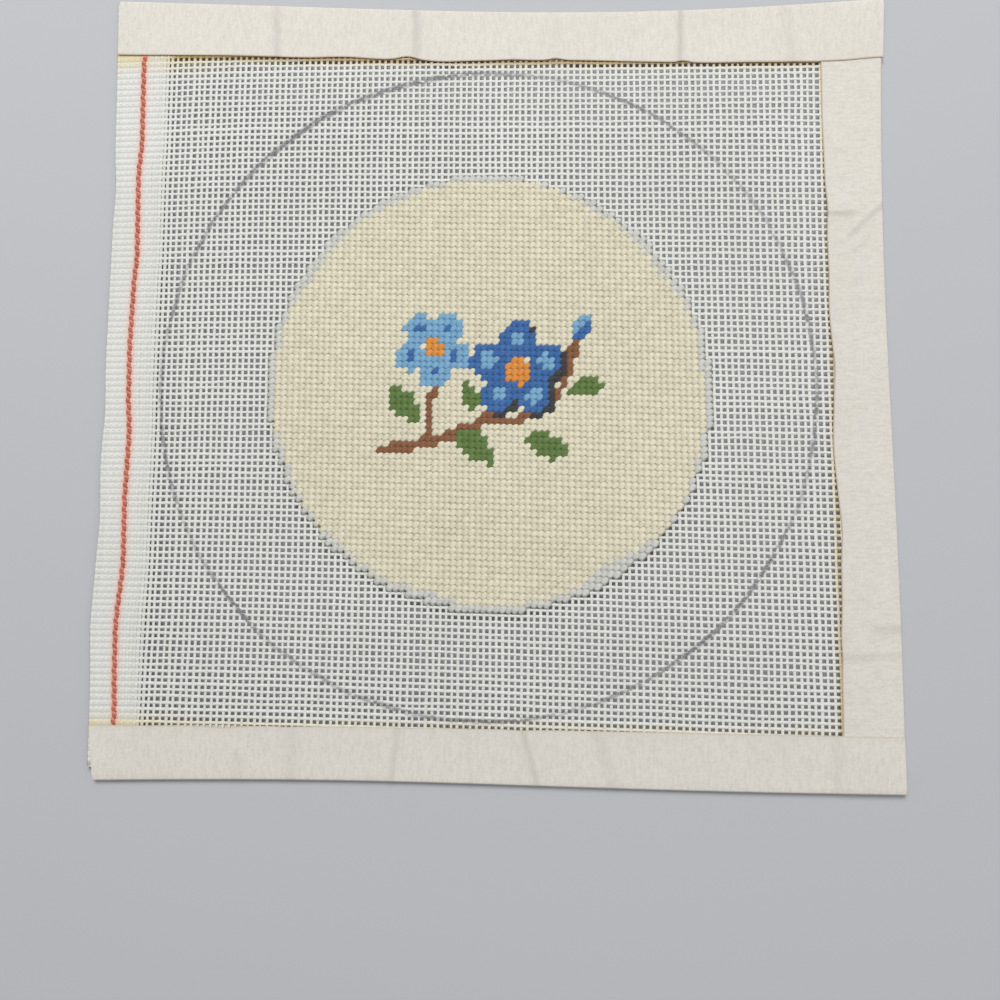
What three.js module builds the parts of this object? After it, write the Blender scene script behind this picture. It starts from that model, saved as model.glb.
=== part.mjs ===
// A needlepoint canvas panel lying flat: a square of open cotton canvas with its selvedge on the left,
// a round worked in wool on both faces, and paper tape folded over the three raw edges.
// Millimetres, +Z up. The underside is at z = 0 and the origin is under the middle of the panel.

import * as THREE from 'three';

// The canvas
const THREADS_PER_INCH = 18;
const PITCH = 25.4 / THREADS_PER_INCH;
const CANVAS_THICK = 1.0;

// The stitched round, counted in stitches, and the row of the woven grid on which it starts
const ROUND_ACROSS = 72;
const ROUND_UP = 71;
const ROUND_FIRST_ROW = -36;
const WOOL_THICK = 1.0;
const GRID_CENTRE = { x: -0.7, y: -1.4 };

// The tape: its full width before it is folded, and its thickness
const TAPE_WIDTH = 25.4;
const TAPE_THICK = 1.0;
const TAPE_LEFT_START = { top: -90.7, bottom: -88.7 };
const TAPE_RIGHT_END = { top: 89.6, bottom: 90.7 };

// Clear space between pieces
const GAP = 0.3;

// The edges run from EDGE_START to EDGE_END, left to right or bottom to top. Each says how far out it
// lies at both ends, how far its middle bows, and how far its two halves wave in opposite ways.
const EDGE_START = -90.5;
const EDGE_END = 90.5;
const EDGES = {
  left: { from: -89.6, to: -90.7, bow: 0.35, wave: -0.45 },
  right: { from: 90.7, to: 89.6, bow: -0.95, wave: 0.55 },
  top: { from: 91.1, to: 90.2, bow: -2.9, wave: 0.5 },
  bottom: { from: -90.8, to: -91.1, bow: 0.7, wave: 0.4 },
};

// The inner edges of the tapes on the front face, in the same form
const TAPE_LINES = {
  right: { from: 77.0, to: 75.2, bow: 1.1, wave: 0.3 },
  top: { from: 77.5, to: 74.6, bow: -0.8, wave: 0.1 },
  bottom: { from: -78.8, to: -78.8, bow: 0.1, wave: 0.1 },
};

// How the woven grid leans and swells under the slanting stitches: each row is one power of x and y,
// both measured in units of WARP_REACH, with the shift in millimetres that it adds.
const WARP_REACH = 80;
const WARP = [
  { x: 0, y: 0, dx: -0.55, dy: -0.67 },
  { x: 1, y: 0, dx: -1.27, dy: -0.98 },
  { x: 0, y: 1, dx: -1.16, dy: -0.37 },
  { x: 2, y: 0, dx: 0.87, dy: -0.27 },
  { x: 1, y: 1, dx: -0.91, dy: 1.01 },
  { x: 0, y: 2, dx: -0.08, dy: 0.13 },
  { x: 3, y: 0, dx: 0.61, dy: 0.39 },
  { x: 2, y: 1, dx: 0.33, dy: 0.12 },
  { x: 1, y: 2, dx: 0.58, dy: 0.16 },
  { x: 0, y: 3, dx: 0.52, dy: 0.34 },
];

// Steps along an edge and round a fold
const EDGE_STEPS = 36;
const FOLD_STEPS = 8;

// Heights: tape, gap, canvas, gap, tape, with the wool level with the tape on both faces
const CANVAS_BASE = TAPE_THICK + GAP;
const FULL_THICK = 2 * CANVAS_BASE + CANVAS_THICK;
const FOLD_RADIUS = FULL_THICK / 2;
const FOLD_MARGIN = 0.01;
const CANVAS_INSET = FOLD_RADIUS;

const cotton = new THREE.MeshStandardMaterial({ color: 0xdcddd8, roughness: 0.85, metalness: 0 });
const paper = new THREE.MeshStandardMaterial({ color: 0xe9e2d6, roughness: 0.8, metalness: 0 });
const wool = new THREE.MeshStandardMaterial({ color: 0xded6bb, roughness: 0.95, metalness: 0 });

function mix(a, b, t) {
  return a + (b - a) * t;
}

// How far out an edge lies at a place s along it.
function edgeAt(edge, s) {
  const t = (s - EDGE_START) / (EDGE_END - EDGE_START);
  const curve = edge.bow * Math.sin(Math.PI * t) + edge.wave * Math.sin(2 * Math.PI * t);
  return mix(edge.from, edge.to, t) + curve;
}

// Where the crossing of column i and row j of the woven grid lies, counted from its middle.
function gridPoint(i, j) {
  const point = new THREE.Vector2(i * PITCH, j * PITCH);
  const u = point.x / WARP_REACH;
  const v = point.y / WARP_REACH;
  for (const term of WARP) {
    const power = u ** term.x * v ** term.y;
    point.x += term.dx * power;
    point.y += term.dy * power;
  }
  point.x += GRID_CENTRE.x;
  point.y += GRID_CENTRE.y;
  return point;
}

// A closed flat piece of even thickness over an outline.
function slab(outline, base, thickness) {
  const geometry = new THREE.ExtrudeGeometry(new THREE.Shape(outline), {
    depth: thickness,
    bevelEnabled: false,
  });
  geometry.translate(0, 0, base);
  return geometry;
}

// The canvas ends inside the folds of the tapes, and on the left at its own selvedge.
function canvasOutline() {
  const inset = CANVAS_INSET;
  const bottomLeft = [edgeAt(EDGES.left, EDGE_START), edgeAt(EDGES.bottom, EDGE_START) + inset];
  const bottomRight = [edgeAt(EDGES.right, EDGE_START) - inset, edgeAt(EDGES.bottom, EDGE_END) + inset];
  const topRight = [edgeAt(EDGES.right, EDGE_END) - inset, edgeAt(EDGES.top, EDGE_END) - inset];
  const topLeft = [edgeAt(EDGES.left, EDGE_END), edgeAt(EDGES.top, EDGE_START) - inset];
  const outline = [];
  for (let step = 0; step < EDGE_STEPS; step++) {
    const x = mix(bottomLeft[0], bottomRight[0], step / EDGE_STEPS);
    outline.push(new THREE.Vector2(x, edgeAt(EDGES.bottom, x) + inset));
  }
  for (let step = 0; step < EDGE_STEPS; step++) {
    const y = mix(bottomRight[1], topRight[1], step / EDGE_STEPS);
    outline.push(new THREE.Vector2(edgeAt(EDGES.right, y) - inset, y));
  }
  for (let step = 0; step < EDGE_STEPS; step++) {
    const x = mix(topRight[0], topLeft[0], step / EDGE_STEPS);
    outline.push(new THREE.Vector2(x, edgeAt(EDGES.top, x) - inset));
  }
  for (let step = 0; step < EDGE_STEPS; step++) {
    const y = mix(topLeft[1], bottomLeft[1], step / EDGE_STEPS);
    outline.push(new THREE.Vector2(edgeAt(EDGES.left, y), y));
  }
  return outline;
}

// The worked round keeps to whole stitches, so its outline goes in steps from row to row.
function roundOutline() {
  const right = [];
  for (let row = 0; row < ROUND_UP; row++) {
    const height = (2 * row + 1) / ROUND_UP - 1;
    const reach = Math.round((ROUND_ACROSS / 2) * Math.sqrt(1 - height ** 2));
    const level = ROUND_FIRST_ROW + row;
    right.push([reach, level], [reach, level + 1]);
  }
  const left = right.map(([reach, row]) => [-reach, row]).reverse();
  return [...right, ...left].map(([i, j]) => gridPoint(i, j));
}

// The section of a tape folded over an edge: from the end of its back flap, round the outside of the
// fold to the end of its front flap, and back along the inside. n is the distance in from the edge.
function foldSection(front, back) {
  const section = [{ n: back, z: 0 }];
  for (let step = 0; step <= FOLD_STEPS; step++) {
    const turn = Math.PI * (step / FOLD_STEPS - 0.5);
    section.push({
      n: FOLD_RADIUS - FOLD_RADIUS * Math.cos(turn),
      z: FOLD_RADIUS + FOLD_RADIUS * Math.sin(turn),
    });
  }
  section.push({ n: front, z: FULL_THICK }, { n: front, z: FULL_THICK - TAPE_THICK });
  const inner = FOLD_RADIUS - TAPE_THICK;
  for (let step = FOLD_STEPS; step >= 0; step--) {
    const turn = Math.PI * (step / FOLD_STEPS - 0.5);
    section.push({ n: FOLD_RADIUS - inner * Math.cos(turn), z: FOLD_RADIUS + inner * Math.sin(turn) });
  }
  section.push({ n: back, z: TAPE_THICK });
  return section;
}

// A tape folded down its middle, whose section closes the ends of every tape.
const EVEN_FOLD = foldSection(TAPE_WIDTH / 2, TAPE_WIDTH / 2);

// Carries a closed section along a row of stations. at(step, index) gives the point of the section
// with that index at that station.
function sweep(section, steps, at) {
  const count = section.length;
  const positions = [];
  for (let step = 0; step <= steps; step++) {
    for (let index = 0; index < count; index++) {
      positions.push(...at(step, index));
    }
  }
  const faces = [];
  for (let step = 0; step < steps; step++) {
    for (let index = 0; index < count; index++) {
      const here = step * count + index;
      const next = step * count + ((index + 1) % count);
      faces.push(here, next, next + count, here, next + count, here + count);
    }
  }
  const flat = section.map((point) => new THREE.Vector2(point.n, point.z));
  for (const [a, b, c] of THREE.ShapeUtils.triangulateShape(flat, [])) {
    faces.push(a, b, c);
    faces.push(steps * count + a, steps * count + c, steps * count + b);
  }
  const geometry = new THREE.BufferGeometry();
  geometry.setAttribute('position', new THREE.Float32BufferAttribute(positions, 3));
  geometry.setIndex(faces);
  return geometry;
}

// The tape over the top or bottom edge. side is +1 for the top and -1 for the bottom.
function crossTape(name, side) {
  const sections = [];
  for (let step = 0; step <= EDGE_STEPS; step++) {
    const x = mix(TAPE_LEFT_START[name], TAPE_RIGHT_END[name], step / EDGE_STEPS);
    const outer = edgeAt(EDGES[name], x);
    const front = Math.abs(outer - edgeAt(TAPE_LINES[name], x));
    const section = foldSection(front, TAPE_WIDTH - front);
    sections.push(section.map((point) => [x, outer - side * point.n, point.z]));
  }
  if (side < 0) {
    sections.reverse();
  }
  return sweep(EVEN_FOLD, EDGE_STEPS, (step, index) => sections[step][index]);
}

// How far up or down the side tape runs at a distance n in from its edge and a height z. Its front flap
// stops a gap short of the other tape's front flap, its back flap short of the back one, and its fold
// at the nearer of the two.
function sideTapeEnd(name, side, x, n, z) {
  const outer = edgeAt(EDGES[name], x);
  const inner = edgeAt(TAPE_LINES[name], x);
  const front = inner - side * GAP;
  const back = outer - side * (TAPE_WIDTH - Math.abs(outer - inner) + GAP);
  if (n < FOLD_RADIUS - FOLD_MARGIN) {
    return side * Math.min(side * front, side * back);
  }
  return z < FOLD_RADIUS ? back : front;
}

// The tape over the right edge, between the other two, from its top end down.
function sideTape() {
  return sweep(EVEN_FOLD, EDGE_STEPS, (step, index) => {
    const t = step / EDGE_STEPS;
    const level = mix(EDGE_END, EDGE_START, t);
    const front = edgeAt(EDGES.right, level) - edgeAt(TAPE_LINES.right, level);
    const { n, z } = foldSection(front, TAPE_WIDTH - front)[index];
    const high = sideTapeEnd('top', 1, EDGES.right.to - n, n, z);
    const low = sideTapeEnd('bottom', -1, EDGES.right.from - n, n, z);
    const y = mix(high, low, t);
    return [edgeAt(EDGES.right, y) - n, y, z];
  });
}

function piece(name, geometry, material) {
  const mesh = new THREE.Mesh(geometry, material);
  mesh.name = name;
  return mesh;
}

const panel = new THREE.Group();
panel.add(piece('canvas', slab(canvasOutline(), CANVAS_BASE, CANVAS_THICK), cotton));
panel.add(piece('stitches_front', slab(roundOutline(), FULL_THICK - WOOL_THICK, WOOL_THICK), wool));
panel.add(piece('stitches_back', slab(roundOutline(), 0, WOOL_THICK), wool));
panel.add(piece('tape_top', crossTape('top', 1), paper));
panel.add(piece('tape_right', sideTape(), paper));
panel.add(piece('tape_bottom', crossTape('bottom', -1), paper));

export default panel;
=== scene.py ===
"""A needlepoint canvas panel lying flat: open cotton canvas woven thread by thread, a round
worked in wool tent stitch on both faces, and paper tape folded over the three raw edges.

Shapes are worked out in millimetres, and meshes hold metres."""

from collections import namedtuple

import bpy
import numpy as np
from bpy.props import FloatProperty, FloatVectorProperty, IntProperty, PointerProperty
from bpy.types import Operator, Panel, PropertyGroup
from mathutils import Euler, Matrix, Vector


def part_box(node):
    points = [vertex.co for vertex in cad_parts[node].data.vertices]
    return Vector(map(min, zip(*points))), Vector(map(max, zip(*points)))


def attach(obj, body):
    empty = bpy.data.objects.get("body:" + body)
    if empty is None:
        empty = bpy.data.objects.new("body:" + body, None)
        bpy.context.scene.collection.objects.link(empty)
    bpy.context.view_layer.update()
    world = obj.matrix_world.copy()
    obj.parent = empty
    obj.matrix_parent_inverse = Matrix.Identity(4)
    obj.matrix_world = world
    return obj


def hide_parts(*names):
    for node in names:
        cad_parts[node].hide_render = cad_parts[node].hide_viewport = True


bl_info = {
    "name": "Needlepoint Canvas Panel",
    "version": (1, 0, 0),
    "blender": (4, 5, 0),
    "location": "View3D > Sidebar > Needlepoint",
    "description": "Builds a taped needlepoint canvas with a worked round in the middle",
    "category": "Add Mesh",
}

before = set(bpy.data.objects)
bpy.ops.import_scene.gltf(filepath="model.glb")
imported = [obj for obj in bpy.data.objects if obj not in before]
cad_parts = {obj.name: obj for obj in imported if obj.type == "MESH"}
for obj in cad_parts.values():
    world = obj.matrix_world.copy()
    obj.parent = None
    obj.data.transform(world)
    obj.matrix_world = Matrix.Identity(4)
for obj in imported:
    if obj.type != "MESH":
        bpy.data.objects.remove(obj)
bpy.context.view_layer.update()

MM = 0.001
INCH = 25.4

# The middle of the woven grid, and the heights that the frame gives to the canvas
Point = namedtuple("Point", "x y")
GRID_CENTRE = Point(-0.7, -1.4)
CANVAS_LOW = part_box("canvas")[0][2] / MM
CANVAS_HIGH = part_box("canvas")[1][2] / MM
ROUND_LEVEL = (CANVAS_LOW + CANVAS_HIGH) / 2

# The outer edges, left to right or bottom to top, from EDGE_START to EDGE_END: how far out each
# end lies, how far the middle bows and how far the two halves wave in opposite ways
Edge = namedtuple("Edge", "start end bow wave")
EDGE_START = -90.5
EDGE_END = 90.5
EDGES = {
    "left": Edge(-89.35, -90.35, 0.35, -0.45),
    "right": Edge(90.7, 89.6, -0.95, 0.55),
    "top": Edge(91.1, 90.2, -2.9, 0.5),
    "bottom": Edge(-90.8, -91.1, 0.7, 0.4),
}

# The inner edges of the tapes on the front face, in the same form
TAPE_LINES = {
    "right": Edge(77.0, 75.05, 0.75, 0.5),
    "top": Edge(77.75, 74.85, -0.8, 0.1),
    "bottom": Edge(-78.8, -78.8, 0.5, 0.1),
}

# How the woven grid leans and swells under the slanting stitches: one row for each power of x
# and y, both in units of WARP_REACH, with the shift in millimetres that it adds
Warp = namedtuple("Warp", "x y dx dy")
WARP_REACH = 80.0
WARPS = (
    Warp(0, 0, -0.55, -0.67),
    Warp(1, 0, -1.27, -0.98),
    Warp(0, 1, -1.16, -0.37),
    Warp(2, 0, 0.87, -0.27),
    Warp(1, 1, -0.91, 1.01),
    Warp(0, 2, -0.08, 0.13),
    Warp(3, 0, 0.61, 0.39),
    Warp(2, 1, 0.33, 0.12),
    Warp(1, 2, 0.58, 0.16),
    Warp(0, 3, 0.52, 0.34),
)

# How far a thread wanders sideways: the lengths of its three waves, and the share of it that is
# left in the selvedge
WANDER_LENGTHS = (61.0, 27.0, 11.0)
SELVEDGE_WANDER = 0.4

# The selvedge: warps left and right of the tracer thread, the widening gaps by which it opens
# into the mesh, the number of warps over which they grow narrower there, the length over which
# its ribs fade out, and the share of the mesh's crimp that it has
TRACER_LEFT = 9
TRACER_GAPS = (0.6, 0.97, 0.98, 0.98, 0.98, 1.0, 1.03, 1.12, 1.35, 1.6)
SELVEDGE_OPENS = 3.5
RIB_FADE = 2.5
SELVEDGE_CRIMP = 0.8
SELVEDGE_WARPS = TRACER_LEFT + len(TRACER_GAPS) - 1

# The tracer's own wavering way up the panel, as places (y, x) that it passes through, its sway
# from row to row, the steps in one turn of its plies, and the painted shade of each ply, one
# darker than the other for the grooves between them
TRACER_WAY = (
    (-92.0, -83.8),
    (-75.0, -83.87),
    (-68.0, -84.2),
    (-57.0, -84.42),
    (-53.0, -84.2),
    (-46.0, -83.55),
    (-42.0, -83.3),
    (-27.5, -83.6),
    (-14.0, -83.2),
    (-10.5, -83.3),
    (-5.0, -83.72),
    (8.0, -83.97),
    (23.0, -83.6),
    (28.5, -83.15),
    (47.0, -83.62),
    (50.0, -83.57),
    (56.0, -83.12),
    (73.0, -83.45),
    (92.0, -83.3),
)
TRACER_SWAY = 0.12
TRACER_STEPS = 8
PLY_PAINTED_SHADES = (0.1, 0.9)

# How flat the tracer is pressed and how far it stands out above the canvas, each in the open and
# under a tape, the length over which one passes into the other, and how far its dye spreads
TRACER_SQUASH = (0.6, 0.2)
TRACER_ABOVE = (0.3, -0.1)
TRACER_DIP = 0.5
DYE_REACH = 0.9

# Where the outer edge of the selvedge, or the inner edge of a tape, strays from its line: a place
# along it, half the length and how far inwards
Bend = namedtuple("Bend", "place reach inward")
SELVEDGE_BENDS = (
    Bend(45.0, 7.0, 0.5),
    Bend(-8.0, 7.0, 0.5),
    Bend(-32.0, 9.0, 0.6),
    Bend(-57.0, 8.0, -0.45),
)
TAPE_BENDS = {
    "top": (
        Bend(-62.0, 12.0, -0.25),
        Bend(-36.0, 6.0, -0.4),
        Bend(-21.0, 2.5, -0.75),
        Bend(-12.0, 5.0, 0.35),
        Bend(4.0, 4.0, -0.25),
        Bend(14.0, 2.0, -0.4),
        Bend(18.0, 14.0, -0.35),
        Bend(44.0, 1.5, -0.35),
        Bend(50.0, 6.0, 0.15),
        Bend(90.0, 8.0, -1.0),
    ),
    "right": (
        Bend(62.0, 8.0, 0.15),
        Bend(40.0, 4.0, -0.35),
        Bend(16.0, 6.0, 0.35),
        Bend(3.0, 4.0, -0.35),
        Bend(-15.0, 10.0, 0.8),
        Bend(-34.0, 5.0, -0.4),
        Bend(-57.0, 4.0, 0.25),
        Bend(-67.0, 4.0, 0.15),
    ),
    "bottom": (
        Bend(-58.0, 4.0, -0.4),
        Bend(-44.0, 2.0, -0.15),
        Bend(8.0, 3.0, -0.15),
    ),
}

# The threads of the mesh, counted in pitches from the middle of the grid, and the sides of a tube
FIRST_WARP = -53.5
LAST_WARP = 64.5
FIRST_WEFT = -64.5
LAST_WEFT = 65.5
THREAD_SIDES = 6

# The round is one row short of a circle at its top
ROUND_ROWS_DOWN = 0.5

# Where tape or wool covers the canvas by more than this, its threads are drawn with fewer steps,
# one in COVERED_STEP
COVER_MARGIN = 2.2
COVERED_STEP = 8

# How often the row of the grid at a place is set right
ROW_PASSES = 3

# What each set of random draws starts from
WARP_SEED = 11
WEFT_SEED = 12
WOOL_SEED = 21


def smooth(t):
    """An S curve from 0 to 1: three times t squared less twice t cubed, with t held within 0 and
    1."""
    t = np.clip(t, 0.0, 1.0)
    return t * t * (3 - 2 * t)


def mix(a, b, t):
    """The value that lies a share t of the way from a to b."""
    return a + (b - a) * t


def edge_at(edge, along):
    """How far out an edge lies: a straight line from start to end, plus half a sine wave times
    the bow and a whole one times the wave."""
    t = (along - EDGE_START) / (EDGE_END - EDGE_START)
    curve = edge.bow * np.sin(np.pi * t) + edge.wave * np.sin(2 * np.pi * t)
    return mix(edge.start, edge.end, t) + curve


def settings():
    """The sizes and colours that the scene holds."""
    return bpy.context.scene.needlepoint


def pitch():
    """The distance from one thread of the mesh to the next."""
    return INCH / settings().canvas.threads_per_inch


def round_radius():
    """The radius of the round that is worked in wool."""
    return settings().stitching.stitches_across / 2 * pitch()


def grid_point(i, j):
    """The place of a point of the woven grid, counted in pitches from its middle: the even grid
    plus each row of WARPS, which is its shift times powers of x and y."""
    x, y = i * pitch(), j * pitch()
    u, v = x / WARP_REACH, y / WARP_REACH
    shift_x = sum(w.dx * u**w.x * v**w.y for w in WARPS)
    shift_y = sum(w.dy * u**w.x * v**w.y for w in WARPS)
    return x + shift_x + GRID_CENTRE.x, y + shift_y + GRID_CENTRE.y


def canvas_level(x, y):
    """Height of the middle of the canvas: level under the round, where the wool on the back holds
    it up, and falling in an S curve of the larger of |x| and |y| to where the edges lie on the
    table."""
    cloth = settings().canvas
    reach = np.maximum(np.abs(x - GRID_CENTRE.x), np.abs(y - GRID_CENTRE.y))
    fall = smooth((reach - round_radius()) / (EDGE_END - round_radius()))
    return mix(ROUND_LEVEL, cloth.edge_level / MM, fall)


def canvas_half():
    """Half the thickness of the woven canvas at a crossing of two threads."""
    cloth = settings().canvas
    return (cloth.crimp + cloth.thread_height / 2) / MM


def tape_front(name, along):
    """Width of a tape's front flap at a place along it."""
    return np.abs(edge_at(EDGES[name], along) - edge_at(TAPE_LINES[name], along))


def tape_cover(name, x, y, both=True):
    """How deep inside both flaps of a tape, or its front flap alone, a point lies, in
    millimetres, or less than nothing outside."""
    along, out = (y, x) if name == "right" else (x, y)
    flap = tape_front(name, along)
    if both:
        flap = np.minimum(flap, settings().tape.width / MM - flap)
    return flap - np.abs(edge_at(EDGES[name], along) - out)


def wander(rng, rows, places, size):
    """A slow sideways wander for each row: three sine waves of different length, each with a
    random phase and strength, times size."""
    total = np.zeros((rows, len(places)))
    for length in WANDER_LENGTHS:
        phase = rng.uniform(0, 2 * np.pi, (rows, 1))
        strength = rng.normal(0, 1, (rows, 1))
        total += strength * np.sin(2 * np.pi * places[None, :] / length + phase)
    return total * size


# Meshes


Shape = namedtuple("Shape", "points faces uvs shade")


def strands(points, width, height, sides, keep=None, cut=None, shade=None):
    """Closed tubes with an oval section along rows of points, an array of rows x steps x 3.

    Each ring is its point, plus the sideways direction times half the width times the cosine of
    an angle, plus the upward direction times half the height times its sine. keep marks the steps
    that are used, and a tube ends wherever a step that cut marks lies between two of them. shade
    is a number for the rows, the steps or each corner, which the material reads."""
    rows, steps = points.shape[:2]
    tangent = np.gradient(points, axis=1)
    tangent /= np.linalg.norm(tangent, axis=2, keepdims=True)
    side = np.cross(tangent, (0.0, 0.0, 1.0))
    side /= np.linalg.norm(side, axis=2, keepdims=True)
    up = np.cross(side, tangent)
    keep = np.ones((rows, steps), bool) if keep is None else keep
    cut = np.zeros((rows, steps), bool) if cut is None else cut
    order = np.flatnonzero(keep & ~cut)
    row = order // steps
    block = np.cumsum(cut, axis=1).ravel()[order]
    width = np.broadcast_to(width, (rows, steps)).ravel()[order]
    height = np.broadcast_to(height, (rows, steps)).ravel()[order]
    centre, side, up = (a.reshape(-1, 3)[order] for a in (points, side, up))
    angle = 2 * np.pi * np.arange(sides) / sides
    across = (width[:, None] / 2 * np.cos(angle))[..., None] * side[:, None]
    above = (height[:, None] / 2 * np.sin(angle))[..., None] * up[:, None]
    ring = centre[:, None] + across + above

    linked = (row[1:] == row[:-1]) & (block[1:] == block[:-1])
    here = np.flatnonzero(linked)[:, None] * sides
    corner = np.arange(sides)[None, :]
    after = (corner + 1) % sides
    there = here + sides
    quads = np.stack([here + corner, there + corner, there + after, here + after], 2)
    first = np.flatnonzero(np.r_[True, ~linked])
    last = np.flatnonzero(np.r_[~linked, True])
    caps = np.r_[first[:, None] * sides + corner, last[:, None] * sides + corner[:, ::-1]]

    length = np.r_[0, np.cumsum(np.linalg.norm(np.diff(centre, axis=0), axis=1))]
    turn = np.broadcast_to(corner / sides, (len(here), sides))
    start = np.broadcast_to(length[here // sides], turn.shape)
    end = np.broadcast_to(length[here // sides + 1], turn.shape)
    quad_u = np.stack([start, end, end, start], 2)
    quad_v = np.stack([turn, turn, turn + 1 / sides, turn + 1 / sides], 2)
    cap_u = np.repeat(length[np.r_[first, last]], sides)
    u = np.r_[quad_u.ravel(), cap_u]
    v = np.r_[quad_v.ravel(), np.full(len(cap_u), 0.5)]
    tone = np.zeros((rows, 1, 1)) if shade is None else np.atleast_3d(shade)
    tone = np.broadcast_to(tone, (rows, steps, sides)).reshape(-1, sides)[order]
    return Shape(
        ring.reshape(-1, 3),
        [quads.reshape(-1, 4), caps],
        np.stack([u, v], 1),
        tone.ravel(),
    )


def shell(points, thickness, shade):
    """A closed skin of even thickness about a grid of points, rows x columns x 3: each side lies
    half the thickness along the grid's normal, which is the cross product of its two
    gradients."""
    rows, columns = points.shape[:2]
    along = np.gradient(points, axis=0)
    across = np.gradient(points, axis=1)
    normal = np.cross(across, along)
    normal /= np.linalg.norm(normal, axis=2, keepdims=True)
    sides = np.stack([points + normal * thickness / 2, points - normal * thickness / 2])
    index = np.arange(rows * columns).reshape(rows, columns)
    a, b, c, d = index[:-1, :-1], index[:-1, 1:], index[1:, 1:], index[1:, :-1]
    outer = np.stack([a, b, c, d], 2).reshape(-1, 4)
    inner = outer[:, ::-1] + rows * columns
    rim = np.r_[index[0, ::-1], index[1:, 0], index[-1, 1:], index[-2:0:-1, -1]]
    far = np.roll(rim, -1)
    wall = np.stack([rim, far, far + rows * columns, rim + rows * columns], 1)
    faces = np.r_[outer, inner, wall]
    u = np.tile(np.repeat(np.arange(rows) / (rows - 1), columns), 2)
    v = np.tile(np.arange(columns) / (columns - 1), rows * 2)
    uvs = np.stack([u, v], 1)[faces.ravel()]
    return Shape(sides.reshape(-1, 3), [faces], uvs, np.tile(shade.ravel(), 2))


def add_piece(name, shape, material, nodes):
    """Makes an object of a shape given in millimetres, which stands for some of the frame's
    nodes."""
    mesh = bpy.data.meshes.new(name)
    faces = [face for block in shape.faces for face in block.tolist()]
    mesh.from_pydata((shape.points * MM).tolist(), [], faces)
    uvs = shape.uvs.astype(np.float32).ravel()
    mesh.uv_layers.new(name="along").uv.foreach_set("vector", uvs)
    tone = mesh.attributes.new("shade", "FLOAT", "POINT")
    tone.data.foreach_set("value", shape.shade.astype(np.float32))
    mesh.polygons.foreach_set("use_smooth", np.ones(len(mesh.polygons), bool))
    mesh.materials.append(material)
    mesh.update()
    piece = bpy.data.objects.new(name, mesh)
    bpy.context.scene.collection.objects.link(piece)
    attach(piece, "root")
    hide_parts(*nodes)
    return piece


# The canvas


def bent(bends, along):
    """How far inwards some bends push an edge at a place along it: a bell for each of them."""
    return sum(b.inward * np.exp(-(((along - b.place) / b.reach) ** 2)) for b in bends)


def selvedge_at(y):
    """Where the outer edge of the selvedge stands at a height of the panel."""
    return edge_at(EDGES["left"], y) + bent(SELVEDGE_BENDS, y)


def tracer_at(y):
    """Where the tracer thread stands at a height of the panel."""
    return np.interp(y, *zip(*TRACER_WAY))


def warp_place(column, j):
    """The place on the canvas of a warp at a height j of the grid. Warps of the mesh lie on the
    grid. Those of the selvedge left of the tracer share evenly the way from the outer edge to it,
    and those right of it share the way on to the first warp of the mesh by TRACER_GAPS."""
    i = np.maximum(FIRST_WARP + column - SELVEDGE_WARPS, FIRST_WARP)
    x, y = grid_point(i, j)
    edge = selvedge_at(y)
    tracer = tracer_at(y)
    middle = TRACER_LEFT - 0.5
    gaps = np.cumsum(TRACER_GAPS) / np.sum(TRACER_GAPS)
    left = np.interp(column, [-0.5, middle], [0, 1])
    right_columns = TRACER_LEFT + np.arange(len(gaps))
    right = np.interp(column, np.r_[middle, right_columns], np.r_[0, gaps])
    in_selvedge = column < SELVEDGE_WARPS
    x = np.where(in_selvedge, edge + left * (tracer - edge) + right * (x - tracer), x)
    outward = (x - GRID_CENTRE.x) / pitch()
    y = np.where(in_selvedge, grid_point(outward, j)[1], y)
    return x, y


def covered(x, y):
    """Whether wool or tape hides both faces of the canvas, by more than COVER_MARGIN."""
    from_centre = np.hypot(x - GRID_CENTRE.x, y - GRID_CENTRE.y)
    hidden = from_centre < round_radius() - COVER_MARGIN
    inside = x > selvedge_at(y) + COVER_MARGIN
    for name in TAPE_LINES:
        hidden |= inside & (tape_cover(name, x, y) > COVER_MARGIN)
    return hidden


def outside(x, y):
    """Whether a point lies past the cut edge of the canvas, which stops short of the folds of the
    tape, and twice as far short of the bottom one."""
    inset = settings().canvas.edge_inset / MM
    low = y < edge_at(EDGES["bottom"], x) + 2 * inset
    high = y > edge_at(EDGES["top"], x) - inset
    return low | high | (x > edge_at(EDGES["right"], y) - inset)


def thread_set(rng, x, y, sign, width):
    """One direction of the weave as tubes with a ring at each crossing: a thread rises over the
    crossing where sign is 1, dips under it where sign is -1 and lies level where sign is 0."""
    cloth = settings().canvas
    hidden = covered(x, y)
    steps = np.arange(x.shape[1])
    keep = ~hidden | (steps % COVERED_STEP == 0)[None, :]
    rise = np.where(hidden, 0.0, sign * cloth.crimp / MM)
    points = np.stack([x, y, canvas_level(x, y) + rise], 2)
    shade = rng.uniform(0, 1, (len(x), 1))
    width = width * (1 + rng.normal(0, cloth.unevenness, (len(x), 1)))
    height = cloth.thread_height / MM
    return strands(points, width, height, THREAD_SIDES, keep, outside(x, y), shade)


def with_ends(steps):
    """Steps with half a step more at either end."""
    return np.r_[steps[0] - 0.5, steps, steps[-1] + 0.5]


def chequer(column, j):
    """1 and -1 by turns over the crossings of the weave, and 0 at the ends of the threads."""
    crossing = (column % 1 == 0) & (j % 1 == 0.5)
    return np.where(crossing, np.where((column + np.floor(j)) % 2 == 0, 1.0, -1.0), 0.0)


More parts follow.
